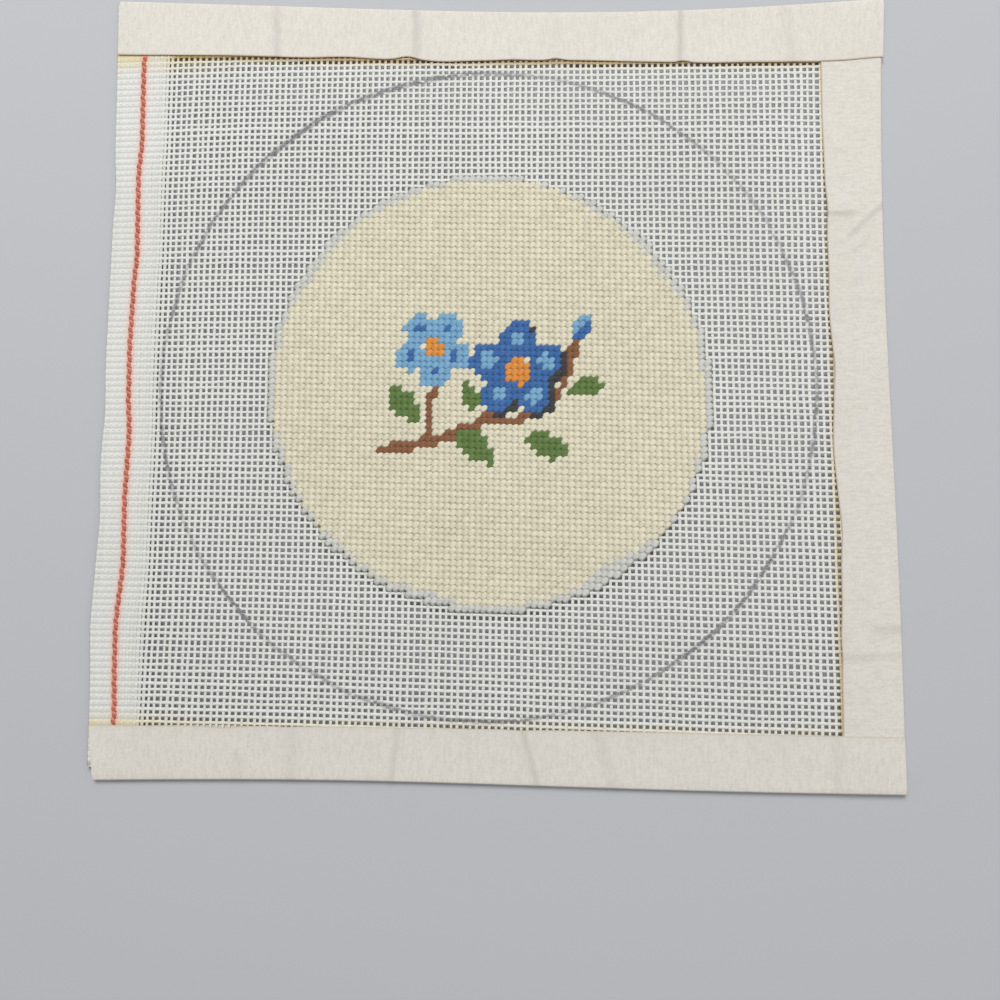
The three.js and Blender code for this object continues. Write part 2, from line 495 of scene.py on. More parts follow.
def warp_threads():
    """The upright threads, with wider ones in the selvedge, which wander less and grow narrower
    towards the mesh."""
    cloth = settings().canvas
    rng = np.random.default_rng(WARP_SEED)
    column = np.arange(SELVEDGE_WARPS + int(LAST_WARP - FIRST_WARP) + 1)
    j = with_ends(np.arange(FIRST_WEFT, LAST_WEFT + 0.5))
    column, j = np.meshgrid(column, j, indexing="ij")
    x, y = warp_place(column, j)
    dense = column < SELVEDGE_WARPS
    strays = np.where(dense, SELVEDGE_WANDER, 1.0)
    x = x + wander(rng, len(column), j[0], cloth.wander / MM) * strays
    opens = np.clip((column - SELVEDGE_WARPS) / SELVEDGE_OPENS + 1, 0, 1)
    width = mix(cloth.selvedge_thread, cloth.thread_width, opens) / MM
    sign = chequer(column, j) * np.where(dense, SELVEDGE_CRIMP, 1.0)
    return thread_set(rng, x, y, sign, width)


def weft_threads():
    """The level threads, from the outer edge of the selvedge across every warp."""
    cloth = settings().canvas
    rng = np.random.default_rng(WEFT_SEED)
    last = SELVEDGE_WARPS + LAST_WARP - FIRST_WARP
    j = np.arange(FIRST_WEFT, LAST_WEFT + 0.5)
    column, j = np.meshgrid(with_ends(np.arange(0, last + 0.5)), j)
    x, y = warp_place(column, j)
    y = y + wander(rng, len(j), column[0], cloth.wander / MM)
    sign = -chequer(column, j) * np.where(column < SELVEDGE_WARPS, SELVEDGE_CRIMP, 1.0)
    return thread_set(rng, x, y, sign, cloth.thread_width / MM)


def row_at(x, y):
    """The row of the grid, in pitches, at a place of the selvedge: that of the even grid, set
    right a few times by as much as the grid's point lies off the place."""
    across, j = (x - GRID_CENTRE.x) / pitch(), (y - GRID_CENTRE.y) / pitch()
    for _ in range(ROW_PASSES):
        j = j + (y - grid_point(across, j)[1]) / pitch()
    return j


def mark_selvedge(piece):
    """Marks each point with the dye that it has taken from the tracer thread, a bell of its
    distance from it, with its row of the grid, and with how densely the canvas is woven there,
    which falls in an S curve to nothing at the first warp of the mesh."""
    place = np.empty(len(piece.data.vertices) * 3, np.float32)
    piece.data.vertices.foreach_get("co", place)
    x, y, _ = place.reshape(-1, 3).T / MM
    row = row_at(x, y)
    marks = {
        "dye": np.exp(-(((x - tracer_at(y)) / DYE_REACH) ** 2)),
        "row": row,
        "dense": smooth((warp_place(SELVEDGE_WARPS, row)[0] - x) / RIB_FADE),
    }
    for name, value in marks.items():
        piece.data.attributes.new(name, "FLOAT", "POINT").data.foreach_set("value", value)


def tracer_thread():
    """The coloured thread of the selvedge, which sways from row to row in a sine wave, of two
    plies that turn about each other once in each pitch: each ply is the middle line plus a small
    circle, half a turn apart. The circle is pressed flat by the first share of TRACER_SQUASH, and
    the thread stands out above the canvas by the first of TRACER_ABOVE. Under the tapes the
    second ones hold. It ends two rows short of the canvas."""
    cloth = settings().canvas
    j = np.arange(FIRST_WEFT + 2, LAST_WEFT - 2, 1 / TRACER_STEPS)
    x, y = warp_place(np.full_like(j, TRACER_LEFT - 0.5), j)
    x = x + TRACER_SWAY * np.sin(np.pi * j)
    turn = 2 * np.pi * j[None, :] + np.array([[0.0], [np.pi]])
    radius = cloth.tracer_width / MM / 4
    top, bottom = (tape_cover(name, x, y, both=False) for name in ("top", "bottom"))
    taped = smooth(np.maximum(top, bottom) / TRACER_DIP + 1)
    squash = mix(*TRACER_SQUASH, taped)
    lift = canvas_half() + mix(*TRACER_ABOVE, taped) - 2 * radius * squash
    points = np.stack(
        [
            x + radius * np.cos(turn),
            np.broadcast_to(y, turn.shape),
            canvas_level(x, y) + lift + radius * squash * np.sin(turn),
        ],
        2,
    )
    keep = np.broadcast_to(~outside(x, y), turn.shape)
    width = cloth.tracer_width / MM / 2
    height = width * squash
    # One ply painted darker than the other, as painted shade for the grooves between them
    shade = np.array(PLY_PAINTED_SHADES)[:, None]
    return strands(points, width, height, THREAD_SIDES, keep, ~keep, shade)


# The stitching

# The sprig, counted in stitches from the middle of the round. The petals lie on a ring, and the
# ring, a petal and the eye in the middle are as large as these shares of a blossom's radius
Blossom = namedtuple("Blossom", "x y radius turn")
Leaf = namedtuple("Leaf", "x y length width lean")
Stem = namedtuple("Stem", "x0 y0 x1 y1 x2 y2 width")
LARGE_BLOSSOM = Blossom(5.2, 2.6, 8.2, 0.3)
SMALL_BLOSSOM = Blossom(-8.8, 6.2, 6.4, 0.95)
BUD = Leaf(15.4, 10.0, 5.6, 3.4, 0.9)
LEAVES = (
    Leaf(-2.2, -9.6, 8.5, 4.4, -0.75),
    Leaf(9.6, -9.4, 8.0, 4.0, -0.35),
    Leaf(-13.6, -3.0, 7.5, 3.8, 2.2),
    Leaf(16.2, 0.2, 6.5, 3.4, 0.15),
    Leaf(-2.8, -1.8, 5.0, 3.0, 1.9),
)
STEMS = (
    Stem(-17.0, -10.5, -4.0, -9.0, 4.6, -2.0, 0.85),
    Stem(-9.5, -8.6, -9.6, -2.0, -8.2, 1.5, 0.6),
    Stem(0.0, -5.6, 12.5, -6.0, 14.2, 7.2, 0.6),
)
PETALS = 5
PETAL_RING = 0.61
PETAL_SIZE = 0.39
EYE_SIZE = 0.26
STEM_STEPS = 60

# How many stitches the blue of the large blossom's petals lies up and to the left of their black,
# and how many their spots do, and the size of the spots of either blossom as a share of a petal's
BLUE_SHIFT = 0.8
SPOT_SHIFT = 0.3
LARGE_SPOT = 0.42
SMALL_SPOT = 0.3

# The grey rim, in stitches: its usual width, the size of its waves with the number and the phase
# of each, and the place where it is thick, as an angle, half its length and how much wider it is
RIM_WIDTH = 0.9
RIM_SWELL = 0.22
RIM_WAVES = ((3, 0.6), (7, 2.1), (13, 0.0))
THICK_RIM = Bend(-0.97, 0.13, 1.3)

# Runs of yarn, one number for each step: how far along it is, how high it lies as a share of its
# highest step, and its width and height as shares of the yarn's
Run = namedtuple("Run", "along lift widths heights")
FRONT_RUN = Run(
    along=(0.0, 0.2, 0.5, 0.8, 1.0),
    lift=(0.4, 0.9, 1.0, 0.9, 0.4),
    widths=(0.72, 1.0, 1.0, 1.0, 0.72),
    heights=(0.7, 0.95, 1.0, 0.95, 0.7),
)
BACK_RUN = Run(
    along=(0.0, 0.25, 0.75, 1.0),
    lift=(-0.1, -0.9, -0.9, -0.1),
    widths=(0.5, 0.95, 0.95, 0.5),
    heights=(0.6, 0.9, 0.9, 0.6),
)

# How much lower the back runs of every second column lie, which cross over the others, and how
# much the fullness of the yarn differs
UNDER_RUN = 1.6
FULLNESS = 0.06
YARN_SIDES = 6

# The shade of a stitch: the least of the random tones, how much painted shade darkens it beside
# the holes, and how much painted light lightens the side that the key light leaves darker
LEAST_SHADE = 0.75
PAINTED_HOLE_SHADE = 0.34
PAINTED_SLANT_LIGHT = 0.35


def in_petals(x, y, flower, grow=1.0):
    """Whether a stitch lies in a petal: the petals are discs on a ring about the flower's middle,
    and the distance to the nearest disc comes from the two sides and the angle between them."""
    dx, dy = x - flower.x, y - flower.y
    step = 2 * np.pi / PETALS
    angle = (np.arctan2(dy, dx) - flower.turn + step / 2) % step - step / 2
    out, ring = np.hypot(dx, dy), PETAL_RING * flower.radius
    away = np.sqrt(out**2 + ring**2 - 2 * out * ring * np.cos(angle))
    return away < PETAL_SIZE * flower.radius * grow


def in_leaf(x, y, leaf):
    """Whether a stitch lies in a leaf, and whether it lies in the leaf's upper half: the leaf is
    as wide as one less the square of the way along it."""
    dx, dy = x - leaf.x, y - leaf.y
    along = dx * np.cos(leaf.lean) + dy * np.sin(leaf.lean)
    across = dy * np.cos(leaf.lean) - dx * np.sin(leaf.lean)
    inside = np.abs(across) < leaf.width / 2 * (1 - (2 * along / leaf.length) ** 2)
    return inside, inside & (across > 0)


def in_stem(x, y, stem):
    """Whether a stitch lies on a stem, a curve that leans towards a middle point: its two ends
    are weighed by the squares of what is left and what is done of the way, and the middle point
    by twice the product of both."""
    t = np.linspace(0, 1, STEM_STEPS)
    curve_x = (1 - t) ** 2 * stem.x0 + 2 * t * (1 - t) * stem.x1 + t**2 * stem.x2
    curve_y = (1 - t) ** 2 * stem.y0 + 2 * t * (1 - t) * stem.y1 + t**2 * stem.y2
    return np.hypot(x[:, None] - curve_x, y[:, None] - curve_y).min(1) < stem.width


def stitch_plan():
    """Every stitch of the round by colour: the places of each colour's stitches, in pitches.
    The round is a disc, its rim is as wide as a constant plus sine waves of the angle plus a
    bell, and the sprig's pieces lie over each other in the order given here."""
    radius = settings().stitching.stitches_across / 2
    step = np.arange(-radius, radius) + 0.5
    x, y = (a.ravel() for a in np.meshgrid(step, step))
    down = y + ROUND_ROWS_DOWN
    reach = np.hypot(x, down * radius / (radius - ROUND_ROWS_DOWN))
    inside = reach < radius
    x, y, reach = x[inside], y[inside], reach[inside]
    angle = np.arctan2(y, x)
    waves = sum(np.sin(count * angle + phase) for count, phase in RIM_WAVES)
    rim = RIM_WIDTH + RIM_SWELL * waves + bent([THICK_RIM], angle)

    colour = np.where(reach > radius - rim, "grey", "cream").astype("<U12")
    for stem in STEMS:
        colour[in_stem(x, y, stem)] = "brown"
    for leaf in LEAVES:
        colour[in_leaf(x, y, leaf)[0]] = "green"
    whole, upper = in_leaf(x, y, BUD)
    colour[whole] = "blue"
    colour[upper] = "pale_blue"
    petals = in_petals(x, y, LARGE_BLOSSOM)
    inner = np.hypot(x - LARGE_BLOSSOM.x, y - LARGE_BLOSSOM.y) < LARGE_BLOSSOM.radius / 2
    lit = in_petals(x + BLUE_SHIFT, y - BLUE_SHIFT, LARGE_BLOSSOM)
    spots = in_petals(x + SPOT_SHIFT, y - SPOT_SHIFT, LARGE_BLOSSOM, LARGE_SPOT)
    colour[petals] = "black"
    colour[petals & (inner | lit)] = "blue"
    colour[spots] = "pale_blue"
    colour[in_petals(x, y, SMALL_BLOSSOM)] = "pale_blue"
    colour[in_petals(x, y, SMALL_BLOSSOM, SMALL_SPOT)] = "blue"
    for flower in (LARGE_BLOSSOM, SMALL_BLOSSOM):
        eye = np.hypot(x - flower.x, y - flower.y) < EYE_SIZE * flower.radius
        colour[eye] = "orange"
    return {name: (x[colour == name], y[colour == name]) for name in sorted(set(colour))}


def beside(along, across):
    """How near a point of a stitch lies to the column of holes on its left or right, from 0 to
    1, which sets where painted shade darkens it: the square of the sine of its step sideways from
    the stitch's middle, counted in pitches. along and across are counted in half lengths of the
    stitch, which leans at 45 degrees."""
    return np.sin(np.pi * (along + across) / 2) ** 2


def run_of_yarn(start, end, run, lift, rng):
    """One visible run of yarn for each pair of holes: straight from hole to hole, its height
    following the run's steps times lift, with each one a little wider, thinner and further aside
    than its neighbours at random. Its shade is a random tone, less a painted shade beside the
    holes, plus a painted light on the side that the key light leaves darker."""
    yarn = settings().stitching
    count = len(start[0])
    along, heights, widths = (np.array(a) for a in (run.along, run.heights, run.widths))
    x = mix(start[0][:, None], end[0][:, None], along[None, :])
    y = mix(start[1][:, None], end[1][:, None], along[None, :])
    strays = rng.normal(0, yarn.unevenness / MM, (2, count, 1))
    aside = strays * np.sin(np.pi * along)[None, None, :]
    x, y = x + aside[0], y + aside[1]
    height = np.array(run.lift) * lift
    points = np.stack([x, y, canvas_level(x, y) + height], 2)
    full = 1 + rng.normal(0, FULLNESS, (count, 1))
    width = widths[None, :] * yarn.yarn_width / MM * full
    thick = heights[None, :] * yarn.yarn_height / MM * (2 - full)
    angle = 2 * np.pi * np.arange(YARN_SIDES) / YARN_SIDES
    half_stitch = pitch() / np.sqrt(2)
    across = widths[:, None] * yarn.yarn_width / MM / 2 * np.cos(angle) / half_stitch
    shade = rng.uniform(LEAST_SHADE, 1, (count, 1, 1))
    # Painted shade beside the holes, and painted light on the side that the key light leaves
    # darker
    shade = shade - PAINTED_HOLE_SHADE * beside(2 * along[:, None] - 1, across) + PAINTED_SLANT_LIGHT * across
    return strands(points, width, thick, YARN_SIDES, shade=shade)


def yarn_level():
    """How far from the middle of the canvas the middle of a stitch lies that rests on it."""
    return canvas_half() + settings().stitching.yarn_height / MM / 2


def front_stitches(i, j, rng):
    """Tent stitches: each leans up to the right across one crossing of the canvas, from the
    hole below it on the left to the hole above it on the right, in an arch over the threads."""
    start = grid_point(i - 0.5, j - 0.5)
    end = grid_point(i + 0.5, j + 0.5)
    return run_of_yarn(start, end, FRONT_RUN, yarn_level(), rng)


def back_stitches(i, j, stitched, rng):
    """The runs behind the canvas: from the hole where a stitch ends to the hole where the next
    one on its left begins, two pitches over and one down. At the end of a row it goes straight
    behind. The runs of every second column lie lower, where they cross the others."""
    has_next = np.array([(a - 1, b) in stitched for a, b in zip(i, j)])
    start = grid_point(i + 0.5, j + 0.5)
    end = grid_point(np.where(has_next, i - 1.5, i - 0.5), j - 0.5)
    layer = np.where(i % 2 == 0.5, 1.0, UNDER_RUN)[:, None]
    return run_of_yarn(start, end, BACK_RUN, yarn_level() * layer, rng)


# The tape

# Creases across a tape: where each meets the outer edge, how far it drifts along the tape on its
# way to the inner one, how wide and high it is, how dark the painted shade along it is, and from
# which share of the flap's width to which it runs
Crease = namedtuple("Crease", "place drift width height mark near far", defaults=(-0.2, 1.2))
CREASES = {
    "top": (
        Crease(-52.2, 0.4, 1.1, 0.12, 0.6),
        Crease(-23.7, -0.7, 0.8, 0.12, 0.0, far=0.7),
        Crease(-19.0, 0.2, 1.2, 0.14, 0.7),
        Crease(13.9, 0.1, 0.7, 0.10, 0.2, near=0.15),
        Crease(36.3, -11.0, 1.0, 0.10, 0.0, far=0.35),
        Crease(43.0, -0.1, 0.8, 0.16, 0.95),
        Crease(66.6, 3.0, 2.0, 0.08, 0.25),
    ),
    "right": (
        Crease(40.9, -12.4, 0.8, 0.16, 0.8, far=0.62),
        Crease(38.8, 0.0, 0.7, 0.16, 0.95, near=0.47),
        Crease(35.9, -11.4, 0.7, 0.10, 0.5, 0.29, 0.53),
        Crease(31.7, 0.0, 0.7, 0.06, 0.35, 0.71, 0.93),
        Crease(18.8, 0.0, 0.8, 0.06, 0.2, 0.07, 0.35),
        Crease(-49.0, 0.0, 0.8, 0.06, 0.3, 0.55, 0.75),
        Crease(-55.4, 0.7, 1.3, 0.12, 0.5, far=0.5),
        Crease(-61.2, -0.2, 1.1, 0.10, 0.4),
    ),
    "bottom": (
        Crease(-55.4, 0.0, 1.7, 0.08, 0.3, far=0.55),
        Crease(-43.9, 1.4, 2.0, 0.08, 0.3),
        Crease(-21.6, 2.4, 0.8, 0.14, 0.55),
        Crease(-3.8, -0.1, 0.6, 0.06, 0.25),
        Crease(10.9, -2.7, 0.8, 0.16, 0.65),
        Crease(27.6, -3.3, 1.9, 0.10, 0.35),
        Crease(75.9, 0.2, 1.2, 0.06, 0.3),
    ),
}

# Over which share of the flap a crease's ends fade, how wide its painted shade is as a share of
# it, and how much of its height is left on the back flap
CREASE_FADE = 0.2
CREASE_SHADE_SHARE = 0.85
BACK_CREASE = 0.25

# Where each tape starts and ends, how far along the tape each end has shifted by its inner edge,
# and the width over which the fold draws its corners in, and how far it does
TAPE_SPAN = {"top": (-90.05, 90.0), "bottom": (-88.1, 90.7), "right": (85.7, -86.2)}
TAPE_LEAN = {"top": (0.25, -0.45), "bottom": (-1.3, -0.2), "right": (0.0, 0.0)}
CORNER_REACH = 0.9
CORNER_ROUND = 0.4

# How much higher the top and bottom tapes lie on the ends of the side tape, in thicknesses of the
# paper, and over which length they climb on it
OVERLAP_LIFT = 1.3
OVERLAP_CLIMB = 0.8

# The steps of a tape across each flap and round the fold, the length of a step along it, and the
# angle in degrees from which an edge of it is sharp
FLAP_STEPS = 13
FOLD_STEPS = 7
TAPE_STEP = 0.45
RIM_ANGLE = 60


def creased(name, along, inward, part, share):
    """The height or the painted shade of a tape's creases at a place along it and a distance in
    from
    its outer edge: for each of them a bell across it, as wide as a share of its width, which fades
    in an S curve at either end of its run."""
    total = np.zeros(np.broadcast(along, inward).shape)
    for crease in CREASES[name]:
        t = inward / tape_front(name, crease.place)
        begun = smooth((t - crease.near) / CREASE_FADE + 0.5)
        run = begun * smooth((crease.far - t) / CREASE_FADE + 0.5)
        away = (along - crease.place - crease.drift * t) / (share * crease.width)
        total = total + getattr(crease, part) * run * np.exp(-(away**2))
    return total


def end_shift(name, inward, t):
    """How far a point of a tape is moved along it, mixed from what its two ends are moved. Each
    end shifts evenly on the way in, by TAPE_LEAN at the inner edge, and by the fold it is drawn
    in by CORNER_ROUND times the square of the share of CORNER_REACH that is left."""
    across = inward / tape_front(name, 0.0)
    start, end = TAPE_LEAN[name]
    drawn_in = CORNER_ROUND * np.maximum(1 - inward / CORNER_REACH, 0) ** 2
    inwards = np.sign(TAPE_SPAN[name][1])
    return mix(start * across + inwards * drawn_in, end * across - inwards * drawn_in, t)


def tape_over(name):
    """A tape folded over an edge: from the inner edge of its front flap, out to the fold, half
    round it and back in under the canvas, as one skin. Its width is laid off along that path, so
    that the back flap has what the front one leaves. The top and bottom tapes climb on the ends
    of the side tape in an S curve."""
    tape = settings().tape
    width, thickness = tape.width / MM, tape.thickness / MM
    start, end = TAPE_SPAN[name]
    along = np.linspace(start, end, int(abs(end - start) / TAPE_STEP) + 1)[:, None]
    bend = canvas_half() + thickness
    front = tape_front(name, along) + bent(TAPE_BENDS[name], along)
    fold = np.pi * bend
    flat_front = (front - bend) * np.linspace(1, 0, FLAP_STEPS)
    turn = np.pi * np.linspace(0, 1, FOLD_STEPS + 2)[1:-1] * np.ones_like(along)
    flat_back = (width - front - fold + bend) * np.linspace(0, 1, FLAP_STEPS)
    inward = np.concatenate([flat_front + bend, bend - bend * np.sin(turn), flat_back + bend], 1)
    rest = np.ones_like(flat_front)
    height = np.concatenate([rest, np.cos(turn), -rest], 1)

    outer = edge_at(EDGES[name], along)
    side = -1 if name == "bottom" else 1
    out = outer - side * inward
    t = (along - start) / (end - start)
    lengthways = along + end_shift(name, inward, t)
    x, y = (out, lengthways) if name == "right" else (lengthways, out)
    over = bend
    if name != "right":
        on_side_tape = (x - edge_at(TAPE_LINES["right"], y)) / OVERLAP_CLIMB + 0.5
        over = bend + OVERLAP_LIFT * thickness * smooth(on_side_tape)
    above = np.maximum(height, 0) + BACK_CREASE * np.minimum(height, 0)
    lift = creased(name, along, inward, "height", 1.0) * above
    points = np.stack([x, y, canvas_level(x, y) + over * height + lift], 2)
    # The painted shade along the creases, which the paper reads as its shade attribute
    marks = creased(name, along, inward, "mark", CREASE_SHADE_SHARE)
    # The bottom tape is taken from its other end, so that its skin faces outwards too
    if name == "bottom":
        points, marks = points[::-1], marks[::-1]
    return shell(points, thickness, marks)


# Materials

# What all the surfaces share, which are soft and dull
SHEEN_ROUGHNESS = 0.5
SPECULAR = 0.25

# Stains on the cotton beside the inner edge of a tape: how wide each is in millimetres, how
# strong it is, and how much stronger towards the left. STAINS are yellow, OLD_STAINS brown
Stain = namedtuple("Stain", "tape width strength left")
STAINS = (
    Stain("top", 2.4, 0.4, 0.3),
    Stain("top", 5.5, 0.0, 0.7),
    Stain("bottom", 2.6, 0.3, 0.4),
    Stain("bottom", 4.0, 0.0, 0.4),
    Stain("right", 1.8, 0.5, 0.0),
)
OLD_STAINS = (Stain("top", 1.3, 1.0, 0.0), Stain("right", 0.7, 0.5, 0.0))

# How strong the brown is, how much weaker in the selvedge, and where the left begins and is
# reached in full, in metres
OLD_STAIN_SHARE = 0.8
OLD_STAIN_DENSE = 0.65
LEFT_FROM, LEFT_TO = -0.055, -0.085

# How dark the painted shade in the selvedge is between its rows, and how strong the dye beside the
# tracer
PAINTED_ROW_SHADE = 0.38
DYE_SHARE = 0.8

# The drawn circle, in millimetres: its middle, how far from its line the mark has faded out and
# where it is full, and how much the line strays
CIRCLE_CENTRE = Point(-1.7, -2.2)
PENCIL_FADES = 0.75
PENCIL_FULL = 0.15
PENCIL_STRAYS = 1.2

# The way out on which it is drawn boldly, how far out in metres that begins and is reached in
# full, how much wider it is there in millimetres, and how strong
BOLD_WAY = Point(-0.39, 0.92)
BOLD_FROM, BOLD_TO = 0.062, 0.069
BOLD_WIDER = 0.3
BOLD_SHARE = 0.9

# The yellowed and the brown strip along a tape's inner edge, as shares of its width: where each
# has faded out and where it is full, and how strong the brown one is
YELLOWED_STRIP = (0.06, 0.0)
BROWN_STRIP = (0.011, 0.004)
AGED_EDGE = {"top": 0.5, "right": 0.45, "bottom": 0.2}

# How fine the paper's crepe is along a tape, across it and through it: its ridges run across
CREPE_SCALE = (1500.0, 420.0, 900.0)


class Value:
    """A number that a material's nodes give, on which arithmetic adds Math nodes."""

    def __init__(self, graph, socket):
        self.graph = graph
        self.socket = socket

    def __add__(self, other):
        return self.graph.math("ADD", self, other)

    __radd__ = __add__

    def __sub__(self, other):
        return self.graph.math("SUBTRACT", self, other)

    def __rsub__(self, other):
        return self.graph.math("SUBTRACT", other, self)

    def __mul__(self, other):
        return self.graph.math("MULTIPLY", self, other)

    __rmul__ = __mul__

    def __truediv__(self, other):
        return self.graph.math("DIVIDE", self, other)


class Graph:
    """The nodes of one new material, with its Principled shader."""

    def __init__(self, name, roughness, sheen=0.0):
        self.material = bpy.data.materials.new(name)
        self.material.use_nodes = True
        self.tree = self.material.node_tree
        self.shader = self.tree.nodes["Principled BSDF"]
        self.shader.inputs["Roughness"].default_value = roughness
        self.shader.inputs["Sheen Weight"].default_value = sheen
        self.shader.inputs["Sheen Roughness"].default_value = SHEEN_ROUGHNESS
        self.shader.inputs["Specular IOR Level"].default_value = SPECULAR

    def node(self, kind, inputs, output=0, **choices):
        """Adds a node: its choices are set first, then the values or links of its inputs."""
        node = self.tree.nodes.new(kind)
        for key, choice in choices.items():
            setattr(node, key, choice)
        for key, value in inputs.items():
            self.feed(node.inputs[key], value)
        return Value(self, node.outputs[output])

    def feed(self, socket, value):
        """Links a value to a socket, or sets the socket to a plain number or colour."""
        if isinstance(value, Value):
            self.tree.links.new(value.socket, socket)
        else:
            socket.default_value = value

    def math(self, operation, *values):
        """Adds a Math node."""
        return self.node("ShaderNodeMath", dict(enumerate(values)), operation=operation)

    def place(self):
        """The object's own coordinates, in metres."""
        return self.node("ShaderNodeTexCoord", {}, "Object")

    def parts(self, vector):
        """The three numbers of a vector."""
        node = self.node("ShaderNodeSeparateXYZ", {0: vector}).socket.node
        return [Value(self, socket) for socket in node.outputs]

    def largest(self, values):
        """The largest of some values."""
        most, *others = values
        for value in others:
            most = self.math("MAXIMUM", most, value)
        return most

    def scaled(self, vector, factors):
        """A vector times three factors."""
        return self.node("ShaderNodeVectorMath", {0: vector, 1: factors}, operation="MULTIPLY")

    def noise(self, vector, scale, detail):
        """Soft noise from 0 to 1."""
        inputs = {"Vector": vector, "Scale": scale, "Detail": detail}
        return self.node("ShaderNodeTexNoise", inputs)

    def between(self, value, low, high):
        """0 below low, 1 above high and an S curve between them, or the other way round."""
        span = {"Value": value, "From Min": low, "From Max": high}
        return self.node("ShaderNodeMapRange", span, interpolation_type="SMOOTHSTEP")

    def blend(self, factor, first, second):
        """Mixes two colours."""
        inputs = {0: factor, 6: first, 7: second}
        return self.node("ShaderNodeMix", inputs, 2, data_type="RGBA", blend_type="MIX")

    def attribute(self, name):
        """A number that the mesh holds for each point."""
        return self.node("ShaderNodeAttribute", {}, "Fac", attribute_name=name)

    def along(self):
        """The piece's own map: on a thread how far along it in millimetres and how far round it,
        and on a tape how far along it and across it, each from 0 to 1."""
        return self.node("ShaderNodeUVMap", {}, uv_map="along")

    def bump(self, height, strength, distance):
        """Raises the surface by a height, for light alone."""
        inputs = {"Height": height, "Strength": strength, "Distance": distance}
        self.feed(self.shader.inputs["Normal"], self.node("ShaderNodeBump", inputs))

    def colour(self, value):
        """Gives the surface its colour."""
        self.feed(self.shader.inputs["Base Color"], value)


def opaque(colour):
    """A colour with full alpha."""
    return (*colour, 1.0)


def paler(colour, share):
    """A colour mixed with white, or with black where the share is below nothing."""
    target = 1.0 if share > 0 else 0.0
    return tuple(mix(part, target, abs(share)) for part in colour)


def ply_twist(graph, turns, plies):
    """A rope's ridges: a sine wave of the way along the thread times turns, plus the way round it
    times the number of plies."""
    u, v, _ = graph.parts(graph.along())
    return graph.math("SINE", (u * turns + v * plies) * (2 * np.pi)) * 0.5 + 0.5


def near_line(graph, tape, x, y, width):
    """A mask that is 1 at a tape's inner edge and fades over a width on either side. The edge is
    taken as a parabola through its ends and its middle."""
    along, out = (y, x) if tape == "right" else (x, y)
    edge = TAPE_LINES[tape]
    t = (along / MM - EDGE_START) / (EDGE_END - EDGE_START)
    line = t * (edge.end - edge.start) + edge.start + t * (1 - t) * (4 * edge.bow)
    return graph.between(graph.math("ABSOLUTE", line - out / MM), width, 0.0)


def stained(graph, stains, x, y):
    """A mask of stains beside the tapes: the strongest of them at each point."""
    left = graph.between(x, LEFT_FROM, LEFT_TO)
    return graph.largest(
        near_line(graph, stain.tape, x, y, stain.width) * (left * stain.left + stain.strength)
        for stain in stains
    )


def pencil_mark(graph, place, x, y, spread):
    """A mask of the drawn circle: near its line, on the upper side of the threads alone, patchy
    and broken, and bolder and wider on BOLD_WAY."""
    dx = x / MM - CIRCLE_CENTRE.x
    dy = y / MM - CIRCLE_CENTRE.y
    reach = graph.math("SQRT", dx * dx + dy * dy)
    strays = (spread - 0.5) * PENCIL_STRAYS
    radius = settings().canvas.circle_radius / MM
    off_line = graph.math("ABSOLUTE", reach - radius + strays)
    bold = graph.between(x * BOLD_WAY.x + y * BOLD_WAY.y, BOLD_FROM, BOLD_TO)
    drawn = graph.between(off_line, bold * BOLD_WIDER + PENCIL_FADES, PENCIL_FULL)
    upward = graph.parts(graph.node("ShaderNodeNewGeometry", {}, "Normal"))[2]
    patches = graph.noise(place, scale=45.0, detail=3.0)
    patchy = graph.between(patches, 0.38, 0.66) * 0.5 + 0.42
    broken = graph.between(graph.noise(place, scale=900.0, detail=1.0), 0.25, 0.55)
    strength = graph.largest([patchy, bold * BOLD_SHARE])
    return drawn * strength * broken * graph.between(upward, 0.3, 0.8)


def cotton_material():
    """Starched white cotton: each thread a little different, twisted, yellowed by the tape along
    its inner edges and brown right beside two of them, with painted shade between the rows of the
    selvedge, dyed beside the tracer, and marked with the drawn circle on its upper side."""
    cloth = settings().canvas
    graph = Graph("starched_cotton", roughness=0.8, sheen=0.1)
    place = graph.place()
    x, y, _ = graph.parts(place)
    patches = graph.noise(place, scale=28.0, detail=3.0)
    cotton = graph.blend(patches, opaque(paler(cloth.cotton, -0.12)), opaque(cloth.cotton))
    tone = graph.attribute("shade") * 0.35
    cotton = graph.blend(tone, cotton, opaque(paler(cloth.cotton, 0.5)))

    spread = graph.noise(place, scale=90.0, detail=2.0)
    glue = stained(graph, STAINS, x, y) * graph.between(spread, 0.15, 0.6)
    cotton = graph.blend(glue, cotton, opaque(cloth.glue))
    dense = graph.attribute("dense")
    brown = stained(graph, OLD_STAINS, x, y) * (OLD_STAIN_SHARE - dense * OLD_STAIN_DENSE)
    cotton = graph.blend(brown, cotton, opaque(cloth.old_glue))
    # Painted shade between the rows of the selvedge
    wave = graph.math("COSINE", graph.attribute("row") * (2 * np.pi))
    between_rows_shade = graph.between(wave, -0.2, 0.9) * dense * PAINTED_ROW_SHADE
    cotton = graph.blend(between_rows_shade, cotton, opaque(paler(cloth.cotton, -0.5)))
    cotton = graph.blend(graph.attribute("dye") * DYE_SHARE, cotton, opaque(cloth.dyed))
    marked = pencil_mark(graph, place, x, y, spread)
    graph.colour(graph.blend(marked, cotton, opaque(cloth.pencil)))
    graph.bump(ply_twist(graph, turns=1.3, plies=2), strength=0.35, distance=0.00006)
    return graph.material


